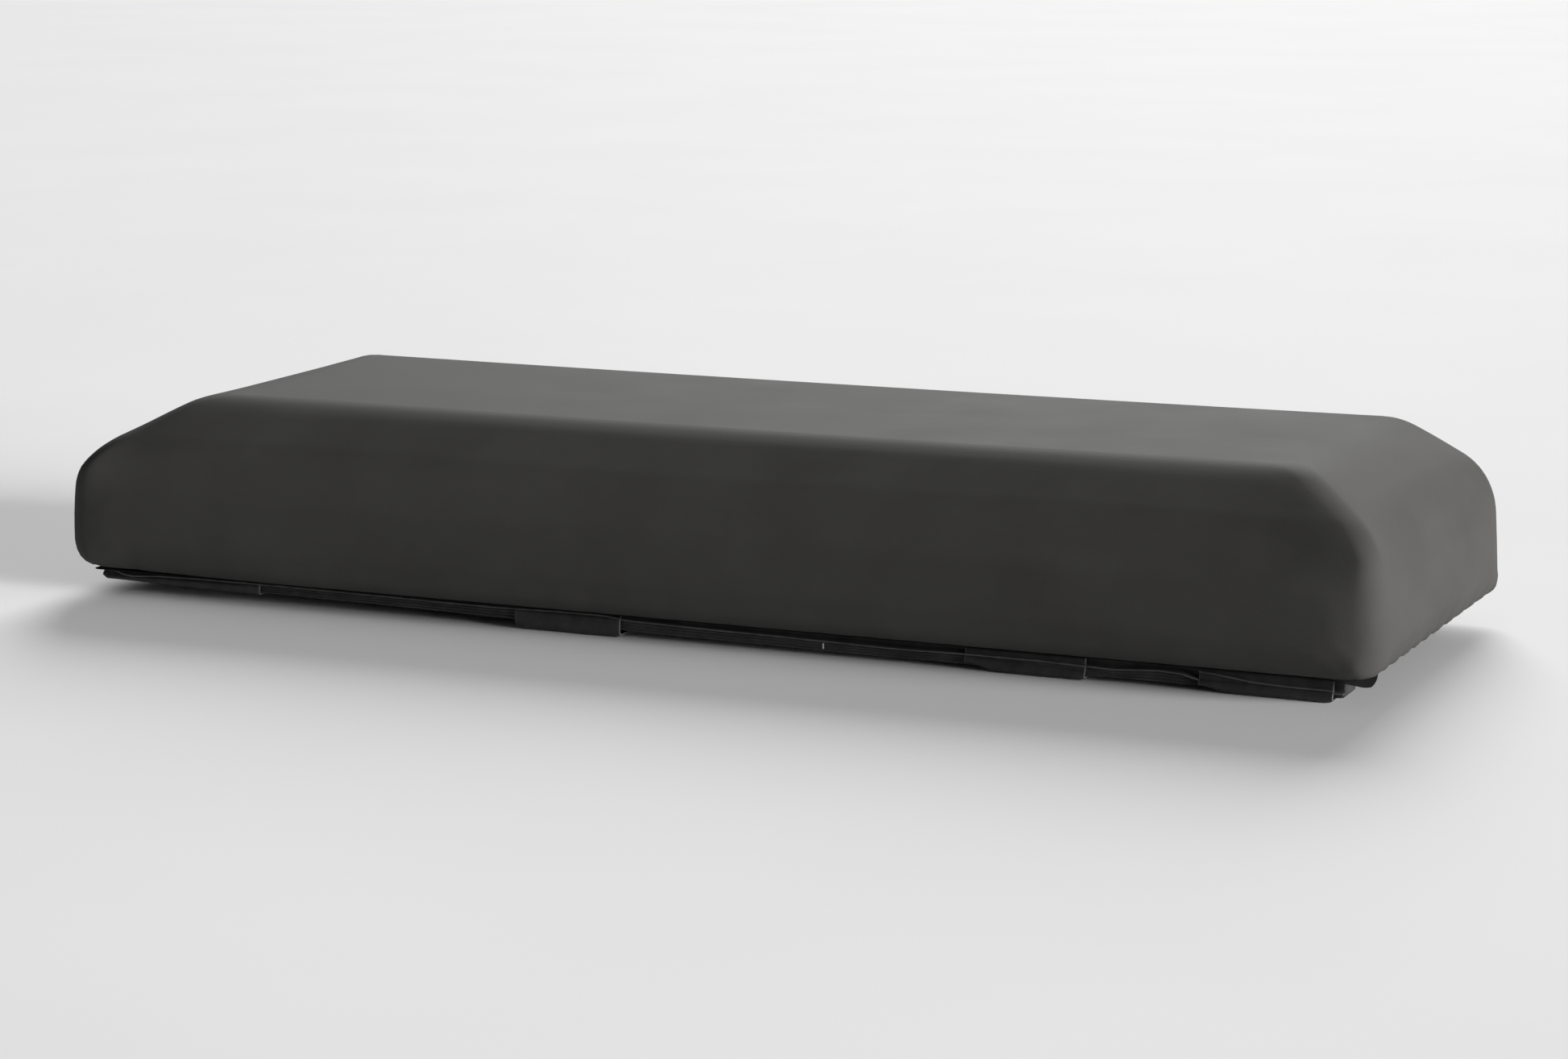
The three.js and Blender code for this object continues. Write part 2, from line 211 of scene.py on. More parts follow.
def apply_modifiers(piece):
    graph = bpy.context.evaluated_depsgraph_get()
    made = bpy.data.meshes.new_from_object(piece.evaluated_get(graph), depsgraph=graph)
    old = piece.data
    piece.modifiers.clear()
    piece.data = made
    bpy.data.meshes.remove(old)
    made.name = piece.name


def face_outwards(piece):
    work = bmesh.new()
    work.from_mesh(piece.data)
    bmesh.ops.recalc_face_normals(work, faces=work.faces)
    work.to_mesh(piece.data)
    work.free()


def solidify(piece, thickness, offset=-1.0):
    solid = piece.modifiers.new("thickness", "SOLIDIFY")
    solid.thickness = thickness
    solid.offset = offset
    solid.use_even_offset = False
    apply_modifiers(piece)


def finish_piece(piece, material, body, slot, *nodes):
    """Gives the piece its material and its body, and hides the CAD nodes it stands for; slot is not used.
    """
    piece.data.materials.append(material)
    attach(piece, body)
    if nodes:
        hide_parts(*nodes)


def smooth_step(value, start, end):
    share = np.clip((value - start) / (end - start), 0.0, 1.0)
    return share * share * (3 - 2 * share)


def wander(along, seed, reach):
    """A smooth value that wanders within about 1 either side of 0, over bumps as long as reach."""
    turns = np.asarray(along) / reach
    return (
        np.sin(2.1 * turns + 1.7 * seed)
        + 0.6 * np.sin(4.7 * turns + 2.9 * seed)
        + 0.35 * np.sin(9.1 * turns + 4.3 * seed)
    ) / 1.6


def ring_faces(rings, count):
    """The faces between each of some rings of points and the next."""
    around = np.arange(count)
    ahead = (around + 1) % count
    faces = [np.stack([around, ahead, ahead + count, around + count], axis=1) + level * count
             for level in range(rings - 1)]
    return np.concatenate(faces)


# -------- section of the pad


def fillet(before, corner, after, radius, steps):
    """The arc that rounds the corner between two straight lines."""
    before, corner, after = (np.array(p, float) for p in (before, corner, after))
    to_before = (before - corner) / np.linalg.norm(before - corner)
    to_after = (after - corner) / np.linalg.norm(after - corner)
    half = math.acos(float(np.clip(to_before @ to_after, -1, 1))) / 2
    middle = (to_before + to_after) / np.linalg.norm(to_before + to_after)
    centre = corner + middle * radius / math.sin(half)
    start = corner + to_before * radius / math.tan(half) - centre
    end = corner + to_after * radius / math.tan(half) - centre
    sweep = math.atan2(start[0] * end[1] - start[1] * end[0], float(start @ end))
    arc = []
    for i in range(steps + 1):
        turn = sweep * i / steps
        across = start[0] * math.cos(turn) - start[1] * math.sin(turn)
        up = start[0] * math.sin(turn) + start[1] * math.cos(turn)
        arc.append(centre + np.array([across, up]))
    return arc


def resampled(points, count):
    """The line through some points, as count points an even distance apart."""
    points = np.array(points, float)
    lengths = np.linalg.norm(np.diff(points, axis=0), axis=1)
    along = np.concatenate([[0], np.cumsum(lengths)])
    at = np.linspace(0, along[-1], count)
    return np.stack([np.interp(at, along, points[:, k]) for k in range(points.shape[1])], axis=1)


ARC_STEPS = 16


def bevelled_section(grid):
    """(inset, height) from the hem's edge under the pad, round the foot and up to the crease."""
    lean = math.atan2(WALL_DRAFT, PAD_HEIGHT - BEVEL_DROP)
    flare = FOOT_RADIUS * ((1 + math.sin(lean)) / math.cos(lean) - 1)
    foot = (-flare, 0)
    shoulder = (WALL_DRAFT, PAD_HEIGHT - BEVEL_DROP)
    crease = (BEVEL_RUN, PAD_HEIGHT)
    top = (2 * BEVEL_RUN, PAD_HEIGHT)
    points = [
        (HEM_WIDTH, 0),
        *fillet((HEM_WIDTH, 0), foot, shoulder, FOOT_RADIUS, ARC_STEPS),
        *fillet(foot, shoulder, crease, SHOULDER_RADIUS, ARC_STEPS),
        *fillet(shoulder, crease, top, CREASE_RADIUS, ARC_STEPS),
    ]
    length = np.linalg.norm(np.diff(np.array(points), axis=0), axis=1).sum()
    return resampled(points, round(length / grid) + 1)


def back_inset(height, inset):
    """How far the flat back stands in at a height. The underside is the same as on the other sides."""
    if height < FOOT_RADIUS:
        return inset
    above = height - (PAD_HEIGHT - BACK_TOP_RADIUS)
    if above <= 0:
        return 0.0
    return BACK_TOP_RADIUS - math.sqrt(max(BACK_TOP_RADIUS**2 - above**2, 0.0))


# -------- level rings and what fills them


def ring_steps(grid):
    """Mesh steps along the length, along the depth, and in half of a rounded corner."""
    half_corner = max(3, round(FRONT_CORNER_RADIUS * math.pi / 4 / grid) + 1)
    along = round((LENGTH - 2 * BEVEL_RUN) / grid)
    deep = round((BACK_Y - FRONT_Y - BEVEL_RUN) / grid)
    return along, deep, half_corner


def rounded_ring(right, front, rear, front_radius, back_radius, height, steps):
    """A level outline with rounded corners, anticlockwise from the middle of its front left corner."""
    along, deep, half_corner = steps
    corners = [
        (right - front_radius, front + front_radius, front_radius, 1.5),
        (right - back_radius, rear - back_radius, back_radius, 0.0),
        (-right + back_radius, rear - back_radius, back_radius, 0.5),
        (-right + front_radius, front + front_radius, front_radius, 1.0),
    ]
    arcs = []
    for x, y, radius, start in corners:
        turns = [math.pi * (start + i / (4 * half_corner)) for i in range(2 * half_corner + 1)]
        arcs.append([(x + radius * math.cos(t), y + radius * math.sin(t)) for t in turns])
    points = arcs[3][half_corner:-1]
    for side, count in enumerate((along, deep, along, deep)):
        start, end = arcs[side - 1][-1], arcs[side][0]
        for k in range(count):
            share = k / count
            points.append((start[0] + (end[0] - start[0]) * share, start[1] + (end[1] - start[1]) * share))
        points += arcs[side][:-1] if side < 3 else arcs[side][:half_corner]
    return np.array([(x, y, height) for x, y in points])


def pad_ring(inset, height, steps):
    back = back_inset(height, inset)
    return rounded_ring(
        HALF_LENGTH - inset,
        FRONT_Y + inset,
        BACK_Y - back,
        max(FRONT_CORNER_RADIUS - inset, TOP_CORNER_RADIUS),
        max(BACK_CORNER_RADIUS - back, LEAST_CORNER_RADIUS),
        PAD_BASE + height,
        steps,
    )


def filled(edge, steps):
    """Points inside a ring, blended from its four sides, and faces that index the ring and then them."""
    along, deep, half_corner = steps
    wide, tall = along + 2 * half_corner, deep + 2 * half_corner
    count = 2 * (wide + tall)
    starts = [0, wide, wide + tall, 2 * wide + tall]
    index = np.zeros((tall + 1, wide + 1), int)
    index[0, :] = np.arange(starts[0], starts[1] + 1)
    index[:, -1] = np.arange(starts[1], starts[2] + 1)
    index[-1, ::-1] = np.arange(starts[2], starts[3] + 1)
    index[::-1, 0] = np.append(np.arange(starts[3], count), 0)
    u = np.linspace(0, 1, wide + 1)[None, :, None]
    v = np.linspace(0, 1, tall + 1)[:, None, None]
    sides = (1 - v) * edge[index[0]][None] + v * edge[index[-1]][None]
    ends = (1 - u) * edge[index[:, 0]][:, None] + u * edge[index[:, -1]][:, None]
    front = (1 - u) * edge[index[0, 0]] + u * edge[index[0, -1]]
    rear = (1 - u) * edge[index[-1, 0]] + u * edge[index[-1, -1]]
    inside = (sides + ends - (1 - v) * front - v * rear)[1:-1, 1:-1]
    index[1:-1, 1:-1] = count + np.arange((tall - 1) * (wide - 1)).reshape(tall - 1, wide - 1)
    faces = np.stack([index[:-1, :-1], index[:-1, 1:], index[1:, 1:], index[1:, :-1]], axis=-1)
    return inside.reshape(-1, 3), faces.reshape(-1, 4)


def rounder_foot(inset, height):
    """Where a place on the section moves to, if its foot has the larger radius of the ends."""
    radius, wide = FOOT_RADIUS, END_FOOT_RADIUS
    if inset > wide or height > wide:
        return inset, height
    flat = wide - radius
    if inset >= radius:
        along = wide - inset
    elif height >= radius:
        along = flat + radius * math.pi / 2 + height - radius
    else:
        along = flat + radius * math.atan2(radius - inset, radius - height)
    turn = math.pi / 2 * along / (2 * flat + radius * math.pi / 2)
    draft = WALL_DRAFT * height / (PAD_HEIGHT - BEVEL_DROP)
    return wide * (1 - math.sin(turn)) + draft, wide * (1 - math.cos(turn))


def cover_ring(inset, height, steps):
    """A ring of the pad's surface, with the rounder foot at the ends."""
    sides = pad_ring(inset, height, steps)
    ends = pad_ring(*rounder_foot(inset, height), steps)
    reach = np.abs(sides[:, 0]) / (HALF_LENGTH - inset)
    share = smooth_step(reach, 0.955, 0.998)[:, None]
    return sides + (ends - sides) * share


def pad_surface(grid):
    """The cover's outer surface, open inside the hem: its points, faces and hem points."""
    steps = ring_steps(grid)
    section = bevelled_section(grid)
    rings = [cover_ring(inset, height, steps) for inset, height in section]
    count = len(rings[0])
    inside, top_faces = filled(rings[-1], steps)
    faces = np.concatenate([ring_faces(len(rings), count), top_faces + (len(rings) - 1) * count])
    underside = int(np.argmax(section[:, 1] > MM)) * count
    return np.concatenate([*rings, inside]), faces, range(underside)


# -------- how the fabric settles


def near_end(x, reach):
    """From 0 to 1 between two distances from the end of the pad."""
    return smooth_step(x, HALF_LENGTH - reach[0], HALF_LENGTH - reach[1])


def settle(points):
    """The pad sags in its middle and is drawn up at the front left. The puckers at its elastic hem are left
    to pucker().
    """
    x, y, height = points[:, 0], points[:, 1], points[:, 2] - PAD_BASE
    above_hem = smooth_step(height, 0.5 * MM, 22 * MM)
    moved = points.copy()
    along = x / HALF_LENGTH
    moved[:, 2] += (END_RISE * (along**2 - 0.45) + SLANT * along) * above_hem
    front_share = 1 - smooth_step(y - FRONT_Y, *FRONT_REACH)
    low_share = 1 - smooth_step(height, *FOOT_HEIGHTS)
    foot_share = 0.5 + 0.5 * above_hem
    near_left = smooth_step(-x, LEFT_LIFT_START, HALF_LENGTH)
    moved[:, 2] += LEFT_LIFT * near_left * front_share * low_share * foot_share
    at_right = smooth_step(x, TILT_START, HALF_LENGTH)
    tilt = np.interp(y, (FRONT_Y + TILT_FRONT, BACK_Y - TILT_BACK), (RIGHT_LIFT, -RIGHT_DROP))
    moved[:, 2] += tilt * at_right * low_share * foot_share
    moved[:, 2] += CROWN * smooth_step(height, *CROWN_HEIGHTS)
    on_bevel = np.sin(math.pi * np.clip((height - FULLNESS_HEIGHT) / FULLNESS_SPAN, 0, 1))
    towards_end = np.sign(x) * smooth_step(np.abs(x), FULLNESS_START, FULLNESS_END)
    moved[:, 2] += BEVEL_FULLNESS * on_bevel * towards_end
    belly = np.sin(math.pi * np.clip(height / BELLY_SPAN, 0, 1))
    moved[:, 0] -= LEFT_BELLY * belly * near_end(-x, BELLY_REACH)
    return moved


def pucker(points, outward):
    """Pinches in the lower edge where the elastic gathers it: deep at the ends, faint along the sides."""
    x, y, height = points[:, 0], points[:, 1], points[:, 2] - PAD_BASE
    at_end = near_end(np.abs(x), PUCKER_REACH)
    corner = near_end(np.abs(x), CORNER_REACH)
    around = np.where(at_end > 0.5, y, x * 0.83) + 0.16 * height * wander(y + x, 3, 0.2)
    around = around + 9 * MM * wander(around, 5, 0.13)
    pinch = (1 - np.abs(np.sin(math.pi * around / PUCKER_SPACING))) ** 1.6
    fine = 0.5 + 0.5 * np.sin(2 * math.pi * around / (0.37 * PUCKER_SPACING))
    fade = 1 - smooth_step(height, 4 * MM, PUCKER_HEIGHT * (0.75 + 0.25 * wander(around, 8, 0.05)))
    strength = PUCKER_DEPTH * np.maximum(at_end, 0.10 + 0.22 * corner)
    depth = strength * fade * (0.85 * pinch + 0.15 * fine) * (0.8 + 0.3 * wander(around, 2, 0.11))
    inset = np.minimum(HALF_LENGTH - np.abs(x), np.minimum(y - FRONT_Y, BACK_Y - y))
    level = outward.copy()
    level[:, 2] = 0
    moved = points - level * depth[:, None]
    moved[:, 2] += SCALLOP * depth * (1 - smooth_step(inset, *SCALLOP_REACH))
    return moved


def tension(piece, pinned):
    """Lets the fabric settle under a little inner pressure, and moves no point further than the cap."""
    rest = coordinates(piece.data)
    group = piece.vertex_groups.new(name="held")
    group.add([int(i) for i in pinned], 1.0, "REPLACE")
    cloth = piece.modifiers.new("cloth", "CLOTH")
    cloth.settings.quality = 4
    cloth.settings.mass = 0.4
    cloth.settings.tension_stiffness = 30
    cloth.settings.compression_stiffness = 30
    cloth.settings.shear_stiffness = 10
    cloth.settings.bending_stiffness = 2
    cloth.settings.use_pressure = True
    cloth.settings.uniform_pressure_force = COVER_PRESSURE
    cloth.settings.vertex_group_mass = "held"
    cloth.settings.effector_weights.gravity = 0
    cloth.point_cache.frame_start = 1
    cloth.point_cache.frame_end = SETTLE_FRAMES
    scene = bpy.context.scene
    for number in range(1, SETTLE_FRAMES + 1):
        scene.frame_set(number)
    graph = bpy.context.evaluated_depsgraph_get()
    settled = coordinates(piece.evaluated_get(graph).data)
    piece.modifiers.remove(cloth)
    piece.vertex_groups.remove(group)
    scene.frame_set(1)
    move = settled - rest
    length = np.linalg.norm(move, axis=1, keepdims=True)
    move *= np.minimum(1.0, SETTLE_CAP / np.maximum(length, 1e-9))
    upward = np.clip(normals(piece.data)[:, 2:3], 0, 1)
    set_coordinates(piece.data, rest + move * (1 - 0.75 * upward**2))


# -------- materials


class Nodes:
    """A material being built: add() makes a node, and link() joins its first output to an input."""

    def __init__(self, name, roughness, **settings):
        self.material = bpy.data.materials.new(name)
        self.material.use_nodes = True
        self.tree = self.material.node_tree
        self.shader = self.tree.nodes["Principled BSDF"]
        self.shader.inputs["Roughness"].default_value = roughness
        for socket, value in settings.items():
            self.shader.inputs[socket.replace("_", " ")].default_value = value
        self.place = self.add("ShaderNodeTexCoord").outputs["Object"]

    def add(self, kind, **settings):
        node = self.tree.nodes.new(kind)
        for name, value in settings.items():
            setattr(node, name, value)
        return node

    def link(self, output, node, socket):
        self.tree.links.new(output, node.inputs[socket])

    def stretched(self, scale):
        mapping = self.add("ShaderNodeMapping")
        mapping.inputs["Scale"].default_value = scale
        self.link(self.place, mapping, "Vector")
        return mapping.outputs["Vector"]

    def noise(self, scale, detail=3.0, place=None):
        noise = self.add("ShaderNodeTexNoise")
        noise.inputs["Scale"].default_value = scale
        noise.inputs["Detail"].default_value = detail
        self.link(place or self.place, noise, "Vector")
        return noise.outputs["Fac"]

    def cells(self, scale):
        cells = self.add("ShaderNodeTexVoronoi")
        cells.inputs["Scale"].default_value = scale
        self.link(self.place, cells, "Vector")
        return cells.outputs["Distance"]

    def ribs(self, scale, direction):
        wave = self.add("ShaderNodeTexWave", bands_direction=direction)
        wave.inputs["Scale"].default_value = scale
        self.link(self.place, wave, "Vector")
        return wave.outputs["Fac"]

    def mixed(self, first, second, share):
        """Two values put together: share is the second's weight."""
        mix = self.add("ShaderNodeMath", operation="MULTIPLY_ADD")
        mix.inputs[1].default_value = share
        self.link(second, mix, 0)
        self.link(first, mix, 2)
        return mix.outputs["Value"]

    def ramp(self, value, low, high, start=0.3, end=0.7):
        ramp = self.add("ShaderNodeValToRGB")
        ramp.color_ramp.elements[0].position = start
        ramp.color_ramp.elements[1].position = end
        ramp.color_ramp.elements[0].color = (*low, 1)
        ramp.color_ramp.elements[1].color = (*high, 1)
        self.link(value, ramp, "Fac")
        return ramp.outputs["Color"]

    def colour(self, value, low, high, start=0.3, end=0.7):
        self.link(self.ramp(value, low, high, start, end), self.shader, "Base Color")

    def roughness(self, value, low, high):
        spread = self.add("ShaderNodeMapRange")
        spread.inputs["To Min"].default_value = low
        spread.inputs["To Max"].default_value = high
        self.link(value, spread, "Value")
        self.link(spread.outputs["Result"], self.shader, "Roughness")

    def bump(self, value, strength, distance, under=None):
        bump = self.add("ShaderNodeBump")
        bump.inputs["Strength"].default_value = strength
        bump.inputs["Distance"].default_value = distance
        self.link(value, bump, "Height")
        if under:
            self.link(under, bump, "Normal")
        self.link(bump.outputs["Normal"], self.shader, "Normal")
        return bump.outputs["Normal"]


def grey(level, warm=0.0):
    """A near-neutral colour: warm takes some blue out of it."""
    return (level * (1 + warm), level, level * (1 - 1.6 * warm))


def knitted_cover():
    """Fine stretch knit: close ribs, short fibres, and faint pull lines along the length."""
    cloth = Nodes("cover_knit", 0.8, Sheen_Weight=0.014, Sheen_Roughness=0.45, Specular_IOR_Level=0.056)
    clouds = cloth.noise(7.0, 4.0)
    fibre = cloth.noise(1400.0, 2.0)
    shade = cloth.mixed(clouds, fibre, 0.35)
    cloth.colour(shade, grey(0.051, 0.024), grey(0.062, 0.02), 0.45, 0.85)
    cloth.roughness(clouds, 0.74, 0.86)
    knit = cloth.mixed(cloth.ribs(260.0, "X"), cloth.ribs(210.0, "Z"), 0.8)
    pulls = cloth.noise(1.0, 3.0, cloth.stretched((3.0, 30.0, 150.0)))
    surface = cloth.bump(pulls, 0.18, 0.7 * MM)
    surface = cloth.bump(fibre, 0.25, 0.12 * MM, surface)
    cloth.bump(knit, 0.22, 0.12 * MM, surface)
    return cloth.material


def coated_strip():
    """Black coated fabric: a dull diagonal weave with a worn, slightly shiny face."""
    cloth = Nodes("strip_coated_weave", 0.5, Sheen_Weight=0.07, Specular_IOR_Level=0.25)
    wear = cloth.noise(38.0, 5.0)
    weave = cloth.mixed(cloth.ribs(300.0, "DIAGONAL"), cloth.noise(900.0), 0.6)
    cloth.colour(cloth.mixed(wear, weave, 0.25), grey(0.013), grey(0.04), 0.4, 0.95)
    cloth.roughness(wear, 0.36, 0.62)
    streaks = cloth.noise(1.0, 4.0, cloth.stretched((14.0, 300.0, 420.0)))
    surface = cloth.bump(streaks, 0.5, 0.6 * MM)
    cloth.bump(weave, 0.35, 0.15 * MM, surface)
    return cloth.material


def leather_flap():
    """Black synthetic leather: pebble grain, creased, with polish on its high spots."""
    leather = Nodes("flap_leatherette", 0.4, Coat_Weight=0.06, Coat_Roughness=0.35, Specular_IOR_Level=0.27)
    grain = leather.cells(620.0)
    wear = leather.noise(55.0, 4.0)
    leather.colour(leather.mixed(wear, grain, 0.2), grey(0.02), grey(0.039), 0.4, 0.9)
    leather.roughness(leather.mixed(wear, grain, 0.3), 0.28, 0.5)
    creases = leather.noise(1.0, 5.0, leather.stretched((16.0, 120.0, 160.0)))
    surface = leather.bump(creases, 0.35, 0.7 * MM)
    leather.bump(grain, 0.3, 0.12 * MM, surface)
    return leather.material


def fold_wear_and_highlight():
    """The paler edge of a folded strip: partly rubbed wear, partly a painted highlight where light would
    catch the fold.
    """
    cloth = Nodes("strip_fold_wear_and_highlight", 0.42, Specular_IOR_Level=0.3)
    wear = cloth.noise(60.0, 5.0)
    # Pale greys, far lighter than the strip and the flaps: a painted highlight on rolled folds and flap
    # ends, with some rubbed wear.
    cloth.colour(wear, grey(0.065), grey(0.12), 0.35, 0.7)
    cloth.bump(cloth.ribs(500.0, "DIAGONAL"), 0.3, 0.15 * MM)
    return cloth.material


def spun_cloth():
    """Black spunbonded lining: random fibres pressed with small dots."""
    cloth = Nodes("base_spunbond", 0.78, Sheen_Weight=0.02, Specular_IOR_Level=0.1)
    fibres = cloth.noise(1.0, 5.0, cloth.stretched((420.0, 900.0, 700.0)))
    dots = cloth.cells(330.0)
    cloth.colour(cloth.mixed(fibres, dots, 0.35), grey(0.004), grey(0.012), 0.4, 0.9)
    cloth.roughness(fibres, 0.66, 0.88)
    surface = cloth.bump(fibres, 0.4, 0.2 * MM)
    cloth.bump(dots, 0.5, 0.2 * MM, surface)
    return cloth.material


def twisted_thread():
    thread = Nodes("black_thread", 0.5, Sheen_Weight=0.2)
    twist = thread.ribs(900.0, "DIAGONAL")
    thread.colour(twist, grey(0.012), grey(0.05))
    thread.bump(twist, 0.5, 0.1 * MM)
    return thread.material


def tape(name, scale, low, high):
    """Hook or loop tape: a dense, dull pile."""
    pile = Nodes(name, 0.9, Sheen_Weight=0.35)
    tufts = pile.cells(scale)
    pile.colour(pile.mixed(tufts, pile.noise(scale * 1.7), 0.4), grey(low), grey(high), 0.2, 0.9)
    pile.bump(tufts, 0.6, 0.4 * MM)
    return pile.material


def ribbed_elastic():
    elastic = Nodes("woven_elastic", 0.75, Sheen_Weight=0.2)
    ribs = elastic.ribs(420.0, "DIAGONAL")
    elastic.colour(elastic.mixed(ribs, elastic.noise(600.0), 0.5), grey(0.01), grey(0.035), 0.3, 1.2)
    elastic.bump(ribs, 0.6, 0.3 * MM)
    return elastic.material


def cut_foam(name, low, high):
    """Cut polyurethane foam: open cells, with painted shade darkening the bottom of each."""
    foam = Nodes(name, 0.95)
    pore_depth_and_shade = foam.cells(520.0)
    tone = foam.noise(12.0, 3.0)
    # Pore centres are darker in colour: painted shade at the bottom of each pore.
    foam.colour(foam.mixed(tone, pore_depth_and_shade, 0.5), low, high, 0.35, 0.9)
    foam.bump(pore_depth_and_shade, 0.8, 0.6 * MM)
    return foam.material


def lofted_fibre():
    fibre = Nodes("polyester_wadding", 1.0, Sheen_Weight=0.4)
    strands = fibre.noise(1.0, 6.0, fibre.stretched((90.0, 260.0, 200.0)))
    fibre.colour(strands, grey(0.66, 0.02), grey(0.84, 0.01), 0.3, 0.75)
    fibre.bump(strands, 0.8, 2 * MM)
    return fibre.material


def white_tab():
    tab = Nodes("woven_white_tab", 0.6)
    weave = tab.ribs(700.0, "Z")
    tab.colour(weave, grey(0.62, 0.01), grey(0.78, 0.01))
    tab.bump(weave, 0.4, 0.1 * MM)
    return tab.material


def studio_floor():
    floor = Nodes("studio_floor", 0.85, Specular_IOR_Level=0.2)
    floor.colour(floor.noise(1.2, 2.0), grey(0.78), grey(0.8))
    return floor.material


COVER_CLOTH = knitted_cover()
STRIP_CLOTH = coated_strip()
FOLD_WEAR_AND_HIGHLIGHT = fold_wear_and_highlight()
FLAP_LEATHER = leather_flap()
BASE_SPUN = spun_cloth()
THREAD = twisted_thread()
HOOK_PILE = tape("hook_tape_pile", 500.0, 0.006, 0.018)
LOOP_PILE = tape("loop_tape_pile", 800.0, 0.008, 0.03)
ELASTIC_WEAVE = ribbed_elastic()
WADDING_FIBRE = lofted_fibre()
TAB_WEAVE = white_tab()

# -------- cover, wadding, foam, elastic


def build_cover():
    points, faces, underside = pad_surface(COVER_GRID)
    piece = new_object("stretch_cover", settle(points), faces)
    tension(piece, underside)
    set_coordinates(piece.data, pucker(coordinates(piece.data), normals(piece.data)))
    solidify(piece, COVER_THICKNESS)
    finish_piece(piece, COVER_CLOTH, "mattress", "cover_fabric", "cover")


def build_wadding():
    """Lofted fibre inside the cover, over the top and down the sides, thinner where the hem gathers."""
    points, faces, _ = pad_surface(WADDING_GRID)
    piece = new_object("wadding_layer", settle(points), faces)
    inner = coordinates(piece.data)
    loft = 0.4 * MM * wander(inner[:, 0] + inner[:, 2], 4, 0.05) * wander(inner[:, 1], 6, 0.04)
    at_foot = 1 - smooth_step(inner[:, 2] - PAD_BASE, 0.04, 0.1)
    inward = WADDING_INWARD + np.abs(loft) + WADDING_FOOT_INWARD * at_foot
    set_coordinates(piece.data, inner - normals(piece.data) * inward[:, None])
    solidify(piece, WADDING_THICKNESS)
    finish_piece(piece, WADDING_FIBRE, "mattress", "wadding", "fibre_wadding")


def build_foam(node, low, high):
    """A cut foam block: the CAD block's shape with eased edges and a slightly uneven cut face."""
    piece = bpy.data.objects.new(f"{node}_block", frame["nodes"][node].data.copy())
    bpy.context.scene.collection.objects.link(piece)
    piece.data.materials.clear()
    remesh = piece.modifiers.new("even", "REMESH")
    remesh.mode = "VOXEL"
    remesh.voxel_size = FOAM_VOXEL
    remesh.use_smooth_shade = True
    apply_modifiers(piece)
    points = coordinates(piece.data)
    cut = 0.3 * MM * (1 + wander(points[:, 0], 1, 0.03) * wander(points[:, 1] + points[:, 2], 2, 0.05))
    set_coordinates(piece.data, points - normals(piece.data) * np.abs(cut)[:, None])
    finish_piece(piece, cut_foam(f"{node}_cells", low, high), "mattress", node, node)


def build_elastic():
    """A band of woven elastic drawn up inside the hem, so it ripples all the way round."""
    low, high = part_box("hem_elastic")
    steps = ring_steps(ELASTIC_GRID)
    rings = []
    for share in (0.0, 0.5, 1.0):
        inset = share * ELASTIC_WIDTH
        corner = ELASTIC_CORNER - inset
        ring = rounded_ring(high.x - inset, low.y + inset, high.y - inset, corner, corner, low.z, steps)
        around = np.arange(len(ring)) * ELASTIC_GRID
        ripple = 0.5 + 0.5 * np.sin(2 * math.pi * around / ELASTIC_RIPPLE + 0.8 * wander(around, 2, 0.08))
        ring[:, 2] += 0.15 * MM + ripple * 0.6 * MM * (0.5 + 0.5 * share)
        rings.append(ring)
    faces = ring_faces(len(rings), len(rings[0]))
    piece = new_object("gathered_elastic", np.concatenate(rings), faces)
    solidify(piece, ELASTIC_THICKNESS, 0.0)
    finish_piece(piece, ELASTIC_WEAVE, "mattress", "elastic", "hem_elastic")


# -------- lofts and stitches


class Parts:
    """Collects points and faces of one piece, with a material number for each face."""

    def __init__(self):
        self.points, self.faces, self.numbers = [], [], []

    def add(self, points, faces, number=0, numbers=None):
        start = sum(len(p) for p in self.points)
        self.points.append(np.asarray(points, float))
        self.faces += [[int(i) + start for i in face] for face in faces]
        self.numbers += numbers or [number] * len(faces)

    def build(self, name, materials):
        piece = new_object(name, np.concatenate(self.points), self.faces)
        for material in materials:
            piece.data.materials.append(material)
        piece.data.polygons.foreach_set("material_index", self.numbers)
        face_outwards(piece)
        return piece


def loft(sections):
    """Points and faces of a closed body through closed sections with the same number of points."""
    count = len(sections[0])
    faces = ring_faces(len(sections), count).tolist()
    last = (len(sections) - 1) * count
    half = count // 2
    for i in range(half - 1):
        mirror = count - 1 - i
        faces.append([i, i + 1, mirror - 1, mirror])
        faces.append([last + mirror, last + mirror - 1, last + i + 1, last + i])
    return np.concatenate(sections), faces


def edge_numbers(sections, inner, edge, spans):
    """Material numbers for a loft's faces: edge for its ends and the first and last spans."""
    count = len(sections[0])
    last = len(sections) - 1 - spans
    numbers = []
    for k in range(len(sections) - 1):
        numbers += [inner if spans <= k < last else edge] * count
    return numbers + [edge] * (2 * (count // 2 - 1))


